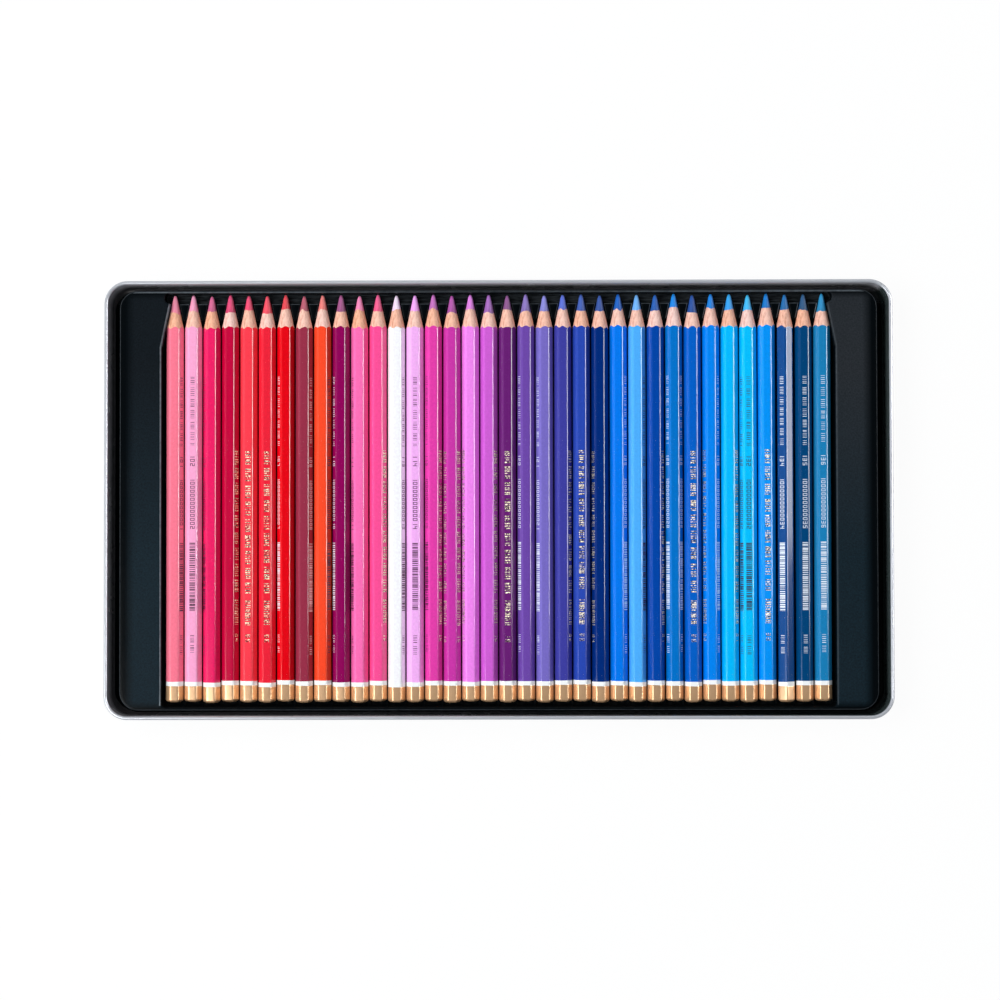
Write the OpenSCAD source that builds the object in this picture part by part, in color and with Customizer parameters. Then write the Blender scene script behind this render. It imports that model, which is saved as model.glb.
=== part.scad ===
// Flat metal tin of coloured pencils: a pressed tinplate tray with a rolled rim, a formed
// black insert with one tapered groove per pencil, and a row of sharpened hexagonal pencils.
// Origin at the middle of the underside, +Y towards the pencil points, +Z up, millimetres.

/* [Pencils] */
// Number of pencils in the row
pencil_count = 36; // [4:1:36]
// Length of a pencil, from point to rounded end
pencil_l = 174.6; // [120:0.1:190]
// Size of the barrel across its rounded corners
pencil_d = 7.4; // [7.2:0.05:9]
// Size of the barrel across two opposite flats
pencil_flats = 6.8; // [6.7:0.05:7.1]
// Diameter of the coloured core
core_d = 4.3; // [2:0.1:4.5]
// Diameter of the blunted point
point_d = 1.2; // [0.6:0.1:1.6]
// Length of the sharpened cone, up to the corners of the barrel
cone_l = 14.8; // [11:0.1:20]
// Thickness of the glue line round the core
glue_line = 0.02; // [0.02:0.01:0.1]
// Radius of the rounded edge at the dipped end
end_round = 1.2; // [0.8:0.1:2.5]
// Wood left behind the end of the core
end_plug = 3; // [2:0.5:10]
// Farthest that a pencil lies from its mean place along its groove
slide_spread = 0.3; // [0:0.05:0.4]
// Farthest that a barrel is turned from having a flat on top
turn_spread = 2.5; // [0:0.5:8]
// The one pencil that lies with a corner on top, counted from the left (0 for none)
edge_up_pencil = 34; // [0:1:36]

/* [Insert] */
// Thickness of the formed sheet
tray_t = 0.7; // [0.5:0.05:0.75]
// Free width between neighbouring pencils
pencil_gap = 0.53; // [0.35:0.01:1.5]
// Clearance round a barrel in its groove
groove_gap = 0.3; // [0.25:0.05:0.4]
// Clearance round a sharpened cone in its groove
cone_gap = 0.5; // [0.4:0.05:0.65]
// Free length in front of the points
point_gap = 0.65; // [0.6:0.05:2]
// Free length behind the dipped ends
end_gap = 2.1; // [1:0.1:4]
// Width of the land between the point trough and the front edge
front_land = 1.15; // [0.9:0.05:1.3]
// Width of the land between the pencil ends and the back edge
back_land = 1.3; // [1:0.05:1.35]
// Free width beside the outer pencils, at the top of the well
side_gap = 1.6; // [1.5:0.1:4]
// Width of the flat shelf at each end of the tin
shelf_w = 17.8; // [10:0.1:40]
// Height of the shelves above the pencil axes
shelf_rise = 4; // [2.5:0.1:5]
// Depth of the lands between the barrels below the pencil axes
land_drop = 1.8; // [1.5:0.1:2.2]
// Depth of the wedge-shaped lands between the cones below the pencil axes
wedge_drop = 0.1; // [0.05:0.05:0.6]
// Length of the wedge-shaped lands
wedge_l = 7.6; // [6:0.1:9]
// Width of the trough under the points
trough_w = 4.3; // [4:0.1:6]
// Diameter of the round pits at the ends of the trough
pit_d = 4.7; // [4.6:0.1:5]
// Depth of the trough below the pencil axes
trough_drop = 2.3; // [2.1:0.1:2.6]
// Length of the drawn-in side walls beside the sharpened cones
taper_l = 19; // [14:0.5:30]
// Draft angle of the long side walls of the well
draft = 10; // [4:1:12]
// Corner radius of the insert, seen from above
tray_r = 8; // [6:0.5:12]
// Radius of the insert's top edge
edge_r = 1; // [0.6:0.1:1.5]
// How far the skirt of the insert flares out towards its foot
skirt_flare = 0.8; // [0.4:0.1:0.8]

/* [Tin] */
// Height of the tin, up to the top of the rim
tin_h = 15; // [13.5:0.5:25]
// Thickness of the tinplate
sheet = 0.3; // [0.2:0.05:0.5]
// Corner radius of the tin, seen from above
tin_r = 10; // [9.5:0.5:14]
// Outer diameter of the rolled rim
bead_d = 1.6; // [1.4:0.1:2]
// Angle that the rolled rim leaves open, on its underside next to the wall
bead_open = 60; // [40:5:100]
// Radius of the bottom edge
bottom_r = 1.75; // [1:0.25:2]
// Width of the ring that the tin stands on
foot_w = 5; // [3:0.5:5]
// Height of the raised panel inside that ring
panel_rise = 0.8; // [0.4:0.1:1.2]
// Distance from the insert's top edge to the outside of the tin at the two short sides
end_margin = 5.75; // [4:0.05:12]
// Distance from the insert's top edge to the outside of the tin at the two long sides
side_margin = 3.6; // [3.6:0.05:12]
// Clearance between the insert's foot and the wall as the insert is lifted out
lift_gap = 1; // [0.8:0.05:1.5]
// Clearance between the grooves and the tin's floor
seat_gap = 0.3; // [0.2:0.05:0.6]
// Clearance between the insert's foot and the ring that the tin stands on
foot_gap = 0.4; // [0.35:0.05:0.6]

/* [Hidden] */
$fn = 48;
arc_steps = 5;
over = 1;
bead_seam = 20;
least_edge = 0.1;

pitch = pencil_d + pencil_gap;
row_w = pencil_count * pitch;
tray_l = row_w + 2 * side_gap + 2 * shelf_w;
tray_w = back_land + end_gap + pencil_l + point_gap + front_land;
tin_l = tray_l + 2 * end_margin;
tin_w = tray_w + 2 * side_margin;

// Heights, from the ground up
floor_z = panel_rise + sheet;
groove_r = pencil_d / 2 + groove_gap;
axis_z = floor_z + seat_gap + tray_t + groove_r;
shelf_z = axis_z + shelf_rise;
land_z = axis_z - land_drop;
wedge_z = axis_z - wedge_drop;
trough_z = axis_z - trough_drop;
foot_z = sheet + foot_gap;

// Places along the pencils
trough_front = tray_w / 2 - front_land;
trough_back = trough_front - trough_w;
point_y = trough_front - point_gap;
wedge_y = trough_back - wedge_l;
well_back = back_land - tray_w / 2;
well_half = row_w / 2 + side_gap;

// The sharpened cone, as a radius that grows with the distance from the point
cone_slope = (pencil_d - point_d) / 2 / cone_l;
core_cone_l = (core_d - point_d) / 2 / cone_slope;
groove_cone_l = (groove_r - cone_gap - point_d / 2) / cone_slope;

flange_l = tin_l - 2 * bead_d - 2 * lift_gap;
flange_w = tin_w - 2 * bead_d - 2 * lift_gap;

// From -1 to 1, how far a pencil lies off its mean place, as loose pencils do
golden_turn = 137.5;
function lie(i) = sin(golden_turn * i);
function turn(i) = i + 1 == edge_up_pencil ? 180 / 6 : turn_spread * lie(3 * i + 1);
function pencil_x(i) = (i - (pencil_count - 1) / 2) * pitch;
function pencil_name(i) = str("pencil_", i < 9 ? "0" : "", i + 1);

LACQUERS = ["lightcoral", "hotpink", "deeppink", "crimson", "tomato", "red", "red", "brown", "orangered",
    "mediumvioletred", "hotpink", "deeppink", "snow", "plum", "mediumvioletred", "mediumorchid", "violet",
    "orchid", "purple", "rebeccapurple", "slateblue", "darkslateblue", "royalblue", "midnightblue",
    "dodgerblue", "cornflowerblue", "mediumblue", "dodgerblue", "royalblue", "dodgerblue", "deepskyblue",
    "deepskyblue", "dodgerblue", "navy", "darkslategray", "steelblue"];

// Points of a quarter circle from angle a to angle b about a centre
function arc(centre, radius, a, b) =
    [for (k = [0:arc_steps]) centre + radius * [cos(a + (b - a) * k / arc_steps), sin(a + (b - a) * k / arc_steps)]];

// Carries a profile round a rounded rectangle: x of the profile counts from the corner's centre
module carried_round(length, width, radius) {
    half_l = length / 2 - radius;
    half_w = width / 2 - radius;
    for (k = [0:3]) {
        across = k % 2 == 0 ? half_l : half_w;
        along = k % 2 == 0 ? half_w : half_l;
        rotate(90 * k) translate([across, along, 0]) {
            rotate_extrude(angle = 90) children();
            rotate([90, 0, 0]) linear_extrude(height = 2 * along) children();
        }
    }
}

// A rounded rectangular block whose side has the child's profile
module profiled_block(length, width, radius, low, high) {
    carried_round(length, width, radius) children();
    translate([radius - length / 2, radius - width / 2, low])
        cube([length - 2 * radius, width - 2 * radius, high - low]);
}

module plate(length, width, radius, low, high) {
    profiled_block(length, width, radius, low, high)
        translate([0, low]) square([radius, high - low]);
}

// Section of the tin's side: foot ring, bottom edge, wall and a rim rolled outwards
module tin_section() {
    wall_r = tin_r - bead_d + sheet;
    panel_edge = wall_r - bottom_r - foot_w;
    bead_z = tin_h - bead_d / 2;
    translate([panel_edge, 0]) square([foot_w, sheet]);
    translate([panel_edge - sheet, 0]) square([sheet, floor_z]);
    intersection() {
        translate([wall_r - bottom_r, bottom_r]) difference() {
            circle(r = bottom_r);
            circle(r = bottom_r - sheet);
        }
        translate([wall_r - bottom_r, 0]) square(bottom_r);
    }
    translate([wall_r - sheet, bottom_r]) square([sheet, bead_z - bottom_r]);
    translate([tin_r - bead_d / 2, bead_z]) difference() {
        circle(d = bead_d);
        circle(d = bead_d - 2 * sheet);
        polygon([[0, 0], bead_d * [-cos(bead_seam), -sin(bead_seam)],
            bead_d * [-cos(bead_seam + bead_open), -sin(bead_seam + bead_open)]]);
    }
}

module tin_base() {
    inset = bead_d - sheet + bottom_r + foot_w;
    color("gainsboro") {
        carried_round(tin_l, tin_w, tin_r) tin_section();
        plate(tin_l - 2 * inset, tin_w - 2 * inset, tin_r - inset, panel_rise, floor_z);
    }
}

// Outer body of the insert, or, drawn in by the sheet's thickness, the space under it
module tray_body(inset, low) {
    radius = tray_r - inset;
    high = shelf_z - inset;
    edge = max(edge_r - inset, least_edge);
    foot = radius + skirt_flare;
    profiled_block(tray_l - 2 * inset, tray_w - 2 * inset, radius, low, high)
        polygon(concat([[0, low], [foot, low], [foot, foot_z]],
            arc([radius - edge, high - edge], edge, 0, 90), [[0, high]]));
}

// One groove: the shape of a pencil with its clearance, and its point towards +Y
module groove(grow) {
    point_r = point_d / 2 + cone_gap + grow;
    rotate([90, 0, 0]) rotate_extrude() polygon([
        [0, 0],
        [point_r, 0],
        [groove_r + grow, groove_cone_l],
        [groove_r + grow, point_y - well_back - end_gap / 4 + grow],
        [0, point_y - well_back - end_gap / 4 + grow]]);
}

// The well that the row lies in, cut down to the lands between the grooves
module well(grow) {
    rise = shelf_z + over - land_z + grow;
    top = well_half + grow + over * tan(draft);
    bottom = top - rise * tan(draft);
    corner_x = point_d + cone_gap + row_w / 2 - pitch / 2 + grow;
    reach = side_gap + over;
    slope_l = taper_l * (well_half + reach - corner_x) / (well_half - corner_x);
    intersection() {
        union() {
            translate([0, wedge_y + grow, land_z - grow]) rotate([90, 0, 0])
                linear_extrude(height = wedge_y - well_back + 2 * grow)
                    polygon([[-bottom, 0], [bottom, 0], [top, rise], [-top, rise]]);
            translate([-well_half, wedge_y, wedge_z - grow])
                cube([2 * well_half, trough_back + over - wedge_y, shelf_z + over - wedge_z + grow]);
        }
        linear_extrude(height = shelf_z + 2 * over) polygon([
            [-well_half - reach, well_back - over],
            [well_half + reach, well_back - over],
            [well_half + reach, trough_back - slope_l],
            [corner_x, trough_back],
            [corner_x, trough_back + over],
            [-corner_x, trough_back + over],
            [-corner_x, trough_back],
            [-well_half - reach, trough_back - slope_l]]);
    }
}

// The cross trough under the points, with a round pit at each end
module trough(grow) {
    half = row_w / 2 - pitch / 2 + point_d + cone_gap;
    middle_y = (trough_front + trough_back) / 2;
    depth = shelf_z + over - trough_z + grow;
    translate([0, middle_y, trough_z - grow]) {
        translate([-half, -trough_w / 2 - grow, 0]) cube([2 * half, trough_w + 2 * grow, depth]);
        for (side = [-1, 1]) translate([side * half, 0, 0]) cylinder(d = pit_d + 2 * grow, h = depth);
    }
}

module hollows(grow) {
    well(grow);
    trough(grow);
    for (i = [0:pencil_count - 1]) translate([pencil_x(i), point_y, axis_z]) groove(grow);
}

module insert_tray() {
    color("#15191c") {
        difference() {
            tray_body(0, foot_z);
            hollows(0);
            difference() {
                tray_body(tray_t, foot_z - over);
                hollows(tray_t);
            }
        }
        difference() {
            plate(flange_l, flange_w, tray_r, foot_z, foot_z + tray_t);
            tray_body(tray_t / 2, foot_z - over);
        }
    }
}

// Half profile of the wooden casing: cone, barrel and rounded end, with the bore of the core
module casing_profile() {
    bore_r = core_d / 2 + glue_line;
    bore_cone_l = core_cone_l + glue_line / cone_slope;
    bore_end = pencil_l - end_plug + glue_line;
    barrel_r = pencil_d / 2;
    polygon(concat([[bore_r, bore_cone_l], [barrel_r, cone_l]],
        arc([barrel_r - end_round, pencil_l - end_round], end_round, 0, 90),
        [[0, pencil_l], [0, bore_end], [bore_r, bore_end]]));
}

module core_profile() {
    core_r = core_d / 2;
    point_r = point_d / 2;
    polygon(concat(arc([0, point_r], point_r, -90, 0),
        [[core_r, core_cone_l], [core_r, pencil_l - end_plug], [0, pencil_l - end_plug]]));
}

module pencil(i) {
    translate([pencil_x(i), point_y + slide_spread * lie(i), axis_z])
        rotate([90, turn(i), 0]) {
            color(LACQUERS[i]) intersection() {
                linear_extrude(height = pencil_l) circle(r = pencil_flats / 2 / cos(30), $fn = 6);
                rotate_extrude() casing_profile();
            }
            color(LACQUERS[i]) rotate_extrude() core_profile();
        }
}

tin_base();
insert_tray();
for (i = [0:pencil_count - 1]) pencil(i);
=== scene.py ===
import math

import bpy
import numpy as np
from mathutils import Matrix, Vector


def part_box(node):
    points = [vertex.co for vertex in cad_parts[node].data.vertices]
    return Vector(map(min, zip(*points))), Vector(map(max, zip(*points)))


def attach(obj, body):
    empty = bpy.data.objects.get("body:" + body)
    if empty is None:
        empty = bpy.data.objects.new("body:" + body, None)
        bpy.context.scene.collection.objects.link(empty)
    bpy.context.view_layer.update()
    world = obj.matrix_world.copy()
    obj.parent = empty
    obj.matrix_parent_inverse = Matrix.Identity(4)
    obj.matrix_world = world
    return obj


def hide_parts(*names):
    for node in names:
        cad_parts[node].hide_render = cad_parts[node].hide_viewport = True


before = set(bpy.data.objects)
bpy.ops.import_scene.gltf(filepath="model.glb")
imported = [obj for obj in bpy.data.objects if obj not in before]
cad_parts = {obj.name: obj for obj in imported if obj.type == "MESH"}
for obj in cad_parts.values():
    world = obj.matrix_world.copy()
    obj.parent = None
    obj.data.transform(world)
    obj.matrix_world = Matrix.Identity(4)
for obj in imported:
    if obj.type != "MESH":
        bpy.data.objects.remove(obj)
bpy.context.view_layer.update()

# Looks of the coloured pencil tin. Lengths are millimetres until a mesh or the camera is made.
# Only the floor and the lamps are written in metres.
MM = 0.001
PENCIL_COUNT = 36
PENCILS = [f"pencil_{i + 1:02d}" for i in range(PENCIL_COUNT)]


def box_mm(node):
    """Lowest and highest corner of a CAD node."""
    low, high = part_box(node)
    return np.array(low) / MM, np.array(high) / MM


# Sizes of the tin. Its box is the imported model's, and the rest is as in the CAD source.
# The rim's bead is rolled outwards by BEAD_END degrees, and is lacquered from PAINT_FROM.
TIN_LOW, TIN_HIGH = box_mm("tin_base")
TIN_L, TIN_W, TIN_H = TIN_HIGH - TIN_LOW
TIN_R = 10.0
SHEET = 0.3
BEAD_R, BEAD_END, PAINT_FROM = 0.8, 280.0, 165.0
BOTTOM_R = 1.75
FOOT_W = 5.0
PANEL_RISE, STEP_R = 0.8, 0.35

# Sizes of the formed insert
TRAY_LOW, TRAY_HIGH = box_mm("insert_tray")
TRAY_T = 0.7
SHELF_Z, FOOT_Z = TRAY_HIGH[2], TRAY_LOW[2]
SKIRT_FLARE = 0.8
ROOM_L, ROOM_W = 5.75, 3.6
TRAY_L, TRAY_W = TIN_L - 2 * ROOM_L, TIN_W - 2 * ROOM_W
TRAY_R = 8.0
EDGE_R = 0.8
FRONT_LAND, BACK_LAND = 1.15, 1.3
TROUGH_W = 4.3
TROUGH_PAST_PIT = 0.5
PIT_R, PIT_OUT = 2.35, 1.7
WEDGE_L = 7.6
SIDE_GAP, BACK_GAP, POINT_GAP = 1.6, 2.1, 0.65
TAPER_L = 19.0
DRAFT, TROUGH_DRAFT, GROOVE_DRAFT = 10.0, 2.0, 4.0
WELL_CORNER = 2.0
WELL_FILLET, BACK_FILLET = 1.3, 0.5
TROUGH_FILLET, PIT_FILLET, WEDGE_FILLET, SHARP_FILLET = 0.42, 0.45, 0.55, 0.1
LOWER_FILLETS = 0.3
LAND_DROP, WEDGE_DROP, TROUGH_DROP = 1.8, 0.1, 2.3

# Sizes of a pencil
PENCIL_L, PENCIL_D = 174.6, 7.4
FLATS = 6.72
CORNER_R = 1.1
POINT_R, CONE_L = 0.6, 14.8
CONE_SLOPE = (PENCIL_D / 2 - POINT_R) / CONE_L
CORE_L, CORE_SPREAD = 7.1, 0.9
GOLD_L, RING_L = 7.05, 1.85
DIP_SPREAD, DIP_T = 0.45, 0.035
END_R, END_INSET = 1.35, 2.3
SUPPORT = 0.08
SCALLOP = 0.4
TURN_SPREAD = 2.5
EDGE_UP, EDGE_TURN = 34, 30.0
GOLDEN_TURN = 137.5


def lie(i):
    """From -1 to 1: how far a loose pencil lies off its mean place, as in the CAD source."""
    return math.sin(math.radians(GOLDEN_TURN * i))


def turn_of(i):
    """Degrees that a pencil is turned about its length. One of them lies with an edge up."""
    return EDGE_TURN if i + 1 == EDGE_UP else TURN_SPREAD * lie(3 * i + 1)


# Middle of each pencil's barrel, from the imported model, and what is placed from it
BOXES = [box_mm(name) for name in PENCILS]
PENCIL_X = [(low[0] + high[0]) / 2 for low, high in BOXES]
AXIS_Z = float(np.mean([(low[2] + high[2]) / 2 for low, high in BOXES]))
PITCH = (PENCIL_X[-1] - PENCIL_X[0]) / (PENCIL_COUNT - 1)
TROUGH_FRONT = TRAY_W / 2 - FRONT_LAND
TROUGH_BACK = TROUGH_FRONT - TROUGH_W
POINT_Y = TROUGH_FRONT - POINT_GAP
WEDGE_Y = TROUGH_BACK - WEDGE_L
WELL_BACK = BACK_LAND - TRAY_W / 2
WELL_HALF = PENCIL_COUNT * PITCH / 2 + SIDE_GAP
PIT_X = PENCIL_X[-1] + PIT_OUT
LAND_Z, WEDGE_Z, TROUGH_Z = AXIS_Z - LAND_DROP, AXIS_Z - WEDGE_DROP, AXIS_Z - TROUGH_DROP
GROOVE_R, GROOVE_POINT_R = 4.0, POINT_R + 0.5
GROOVE_BACK = WELL_BACK + BACK_GAP / 4

# ---------------------------------------------------------------- colours
# Lacquer and core of each pencil, from left to right
LACQUERS = """ff7a92 ffa6cf ee1d63 c3003a ff3d4d ef2238 e60012 9a3048 ff4a28 8f0056 ff6db2 ff4f96
fffaff f9b3f5 e63ea8 cc36a6 f285ec cf5dd0 6a1f72 6f48a8 7a6cc4 3f3fa0 2a48b0 002b78
0078ec 4fb0ff 0046a8 0074cc 0060c8 0085f0 00baff 00c0ff 0095f8 00468a 004478 1a80b8""".split()
CORES = """ff829c ff90b0 b7557b ca3e67 da3f62 f24758 cf3c45 a14d5e d76c68 904a77 ff7dab ec517e
f5caf9 ff9af6 ac5ea4 9c4891 c76fc7 915ba3 7b497a 7b66a8 7977bd 4e60b9 37529c 2e4a8d
0f54a8 67a5ff 1c519c 0b75cf 1e458a 0f6fc0 2a8edb 37a8f3 0568b1 18609b 234c73 227dac""".split()
# From 0 (pink) to 9 (tan): the bare wood of each pencil
TONES = "959162442695738743566375341033704684"
# Specks of dust on the lacquer
DUST = (0.9, 0.85, 0.85, 1)

# Rows of print on each pencil: T on the facet on top, L and R on those beside it.
# F foil bars, D dark ink, W white ink, P pale gold ink
PRINTS = {
    1: "RD", 2: "TD", 3: "LD", 4: "RF", 5: "TF", 6: "TF", 7: "LW", 8: "RW", 9: "RD", 10: "LW",
    11: "LD", 12: "RF", 13: "RD", 14: "TD", 15: "RF LD", 16: "RF LF", 17: "LF", 18: "RF",
    19: "TF", 20: "LW", 21: "LW", 22: "RF", 23: "TF", 24: "LF", 25: "RW", 26: "RD", 27: "RF",
    28: "RW LP", 29: "TF", 30: "LF RW", 31: "RF", 32: "TD LP", 33: "TF", 34: "LW",
    35: "TW", 36: "TW",
}
FACETS = {"T": 90.0, "R": 30.0, "L": 150.0}


def linear(code):
    """A colour written as six hexadecimal digits, in scene-linear values."""
    parts = [int(code[k:k + 2], 16) / 255 for k in (0, 2, 4)]
    return tuple(c / 12.92 if c <= 0.04045 else ((c + 0.055) / 1.055) ** 2.4 for c in parts) + (1,)


def shade(colour, factor, over=math.inf):
    """A lighter or darker version of a colour, at most so many times past its full strength."""
    factor = min(factor, over / max(colour[:3]))
    return tuple(min(c * factor, 1.0) for c in colour[:3]) + (1,)


# ---------------------------------------------------------------- materials
class Nodes:
    """The node tree of a material or a world, with short calls for the nodes used here."""

    def __init__(self, owner):
        owner.use_nodes = True
        self.tree = owner.node_tree

    def join(self, value, socket):
        """Links an output to a socket, or gives the socket a plain value."""
        if isinstance(value, bpy.types.NodeSocket):
            self.tree.links.new(value, socket)
        else:
            socket.default_value = value

    def add(self, kind, inputs=(), **settings):
        """A new node with its settings made and its inputs joined."""
        node = self.tree.nodes.new(kind)
        for key, value in settings.items():
            setattr(node, key, value)
        for socket, value in dict(inputs).items():
            self.join(value, node.inputs[socket])
        return node

    def parts(self, vector):
        """X, Y and Z of a point or a direction."""
        return self.add("ShaderNodeSeparateXYZ", {"Vector": vector}).outputs

    def ramp(self, value, low, high, to_low=0.0, to_high=1.0, **settings):
        """A value carried from one range to another, and held at the ends of it."""
        return self.add("ShaderNodeMapRange", {
            "Value": value, "From Min": low, "From Max": high,
            "To Min": to_low, "To Max": to_high}, **settings).outputs[0]

    def math(self, operation, a, b=0.0):
        return self.add("ShaderNodeMath", {0: a, 1: b}, operation=operation).outputs[0]

    def times(self, a, b):
        return self.math("MULTIPLY", a, b)


class Finish(Nodes):
    """A material, drawn in its piece's own coordinates."""

    def __init__(self, name):
        self.material = bpy.data.materials.new(name)
        super().__init__(self.material)
        self.shader = self.tree.nodes["Principled BSDF"]
        self.object = self.add("ShaderNodeTexCoord").outputs["Object"]

    def set(self, **values):
        """Joins values to the shader's inputs, written with underscores for spaces."""
        for key, value in values.items():
            self.join(value, self.shader.inputs[key.replace("_", " ")])

    def attribute(self, name):
        """A value kept at each point of the mesh."""
        return self.add("ShaderNodeAttribute", attribute_name=name).outputs["Fac"]

    def noise(self, scale, detail=3.0, stretch=(1, 1, 1), rough=0.5):
        """A noise, drawn out along the axes whose stretch is small."""
        where = self.add("ShaderNodeMapping", {"Vector": self.object, "Scale": stretch})
        return self.add("ShaderNodeTexNoise", {
            "Vector": where.outputs[0], "Scale": scale, "Detail": detail,
            "Roughness": rough}).outputs["Fac"]

    def mix(self, fac, a, b):
        """Mixes two colours. Each is an output, a value or a code of six digits."""
        a, b = (linear(c) if isinstance(c, str) else c for c in (a, b))
        return self.add("ShaderNodeMix", {0: fac, 6: a, 7: b}, data_type="RGBA").outputs[2]

    def mottle(self, pattern, a, b, low=0.35, high=0.65):
        """Mixes two colours by a noise."""
        return self.mix(self.ramp(pattern, low, high), a, b)

    def bump(self, height, distance, normal=None):
        """A pattern raised from the surface, or from another bump."""
        inputs = {"Height": height, "Distance": distance, "Strength": 1.0}
        if normal is not None:
            inputs["Normal"] = normal
        return self.add("ShaderNodeBump", inputs).outputs[0]


def lacquer(number):
    """Glossy lacquer: faint mottling, dust specks and a slightly wavy surface."""
    n = Finish(f"lacquer_{number:02d}")
    base = linear(LACQUERS[number - 1])
    mottled = n.mottle(n.noise(900, 4), shade(base, 0.93), shade(base, 1.04))
    speck = n.ramp(n.noise(2600, 1), 0.76, 0.80)
    wave = n.bump(n.noise(120, 2, (1, 1, 0.15)), 0.000003)
    n.set(Base_Color=n.mix(n.times(speck, 0.35), mottled, DUST), IOR=1.52,
          Roughness=n.ramp(n.noise(350, 3, (1, 1, 0.15)), 0.3, 0.7, 0.11, 0.15),
          Normal=n.bump(n.noise(1600, 3, (1, 1, 0.1)), 0.000004, wave))
    return n.material


def core(number):
    """Waxy core, shaved by the sharpener: streaks along the cone, and painted light that makes it
    paler towards the point, where it lies in shade.
    """
    n = Finish(f"core_{number:02d}")
    base = linear(CORES[number - 1])
    along = n.ramp(n.parts(n.object)["Z"], 0.8 * MM, CORE_L * MM)
    streaks = n.noise(900, 4, (1, 1, 0.15), 0.65)
    patches = n.noise(300, 2)
    # Painted light: both tones are paler towards the point, where the core lies in shade
    dark = n.mix(along, shade(base, 1.4, 1.15), shade(base, 0.85, 0.95))
    pale = n.mix(along, shade(base, 1.9, 1.45), shade(base, 1.35, 1.3))
    streaked = n.mottle(streaks, dark, pale)
    n.set(Base_Color=n.mix(n.ramp(patches, 0.5, 0.7, 0.0, 0.6), streaked, dark),
          Roughness=n.ramp(patches, 0.3, 0.7, 0.38, 0.6), IOR=1.45,
          Normal=n.bump(streaks, 0.00003))
    return n.material


def bare_wood():
    """Sharpened wood: pink to tan, long grain, fine rings left by the blade."""
    n = Finish("bare_wood")
    tone = n.attribute("tone")
    pale, dark = n.mix(tone, "ffd8ce", "ffbc9a"), n.mix(tone, "cf8f7f", "bd7654")
    grain = n.noise(1300, 5, (1, 1, 0.1), 0.7)
    bands = n.noise(260, 2, (1, 1, 0.15))
    coloured = n.mottle(grain, dark, pale, 0.36, 0.56)
    coloured = n.mix(n.ramp(bands, 0.35, 0.7, 0.0, 0.5), coloured, pale)
    rings = n.add("ShaderNodeTexWave", {
        "Vector": n.object, "Scale": 900.0, "Distortion": 2.5, "Detail": 2.0},
        bands_direction="Z").outputs["Fac"]
    n.set(Base_Color=coloured, Roughness=n.ramp(grain, 0.3, 0.7, 0.55, 0.75), IOR=1.4,
          Normal=n.bump(grain, 0.00004, n.bump(rings, 0.00001)))
    return n.material


def painted(name, code, roughness):
    """Plain paint or ink, a little uneven in tone and gloss."""
    n = Finish(name)
    base = linear(code)
    n.set(Base_Color=n.mix(n.noise(1200), shade(base, 0.94), shade(base, 1.03)), IOR=1.5,
          Roughness=n.ramp(n.noise(500), 0.3, 0.7, roughness - 0.05, roughness + 0.05),
          Normal=n.bump(n.noise(150, 2), 0.00005))
    return n.material


def metal(name, code, roughness, uneven, grain, wave, fine, worn, metallic):
    """Satin or dipped metal: uneven gloss, fine grain, patches slightly duller than the rest."""
    n = Finish(name)
    base = linear(code)
    lines = n.noise(1500, 4, grain, 0.6)
    n.set(Base_Color=n.mottle(n.noise(160, 4), shade(base, worn), base), Metallic=metallic,
          Roughness=n.ramp(lines, 0.3, 0.7, roughness - uneven, roughness + uneven),
          Normal=n.bump(lines, fine, n.bump(n.noise(90, 2), wave)))
    return n.material


def tin_wall():
    """Outside of the drawn wall: bright tinplate with fine draw marks, worn near its foot."""
    n = Finish("tin_wall")
    marks = n.noise(2400, 4, (0.15, 0.15, 1.0), 0.7)
    clouds = n.noise(55, 3, (1, 1, 0.6))
    scratches = n.ramp(n.noise(700, 5, (1.0, 1.0, 0.08), 0.75), 0.62, 0.72)
    foot = n.ramp(n.parts(n.object)["Z"], 2.2 * MM, 0.4 * MM)
    base = n.mix(n.times(scratches, 0.35), n.mottle(clouds, "b4b8bf", "c9ccd2"), "8f939a")
    base = n.mix(n.times(foot, n.ramp(marks, 0.4, 0.6)), base, "9a9ca1")
    rough = n.math("ADD", n.ramp(marks, 0.3, 0.7, 0.24, 0.36), n.ramp(foot, 0, 1, 0.0, 0.12))
    n.set(Base_Color=base, Metallic=0.92, Roughness=rough,
          Normal=n.bump(marks, 0.000008, n.bump(clouds, 0.00005)))
    return n.material


def foil():
    """Stamped foil: thin, crinkled and patchy in gloss. Its colour swings in patches from near black
    to cream, as painted glints and dark reflections, so that it glitters.
    """
    n = Finish("foil_print")
    patches = n.noise(1700)
    # Painted glints and dark reflections: the colour swings in patches from near black to cream
    n.set(Base_Color=n.mottle(patches, "1f1006", "fff2d0", 0.45, 0.54), Metallic=0.45,
          Roughness=n.ramp(patches, 0.3, 0.7, 0.42, 0.3),
          Normal=n.bump(n.noise(1500, 2), 0.0006))
    return n.material


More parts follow.
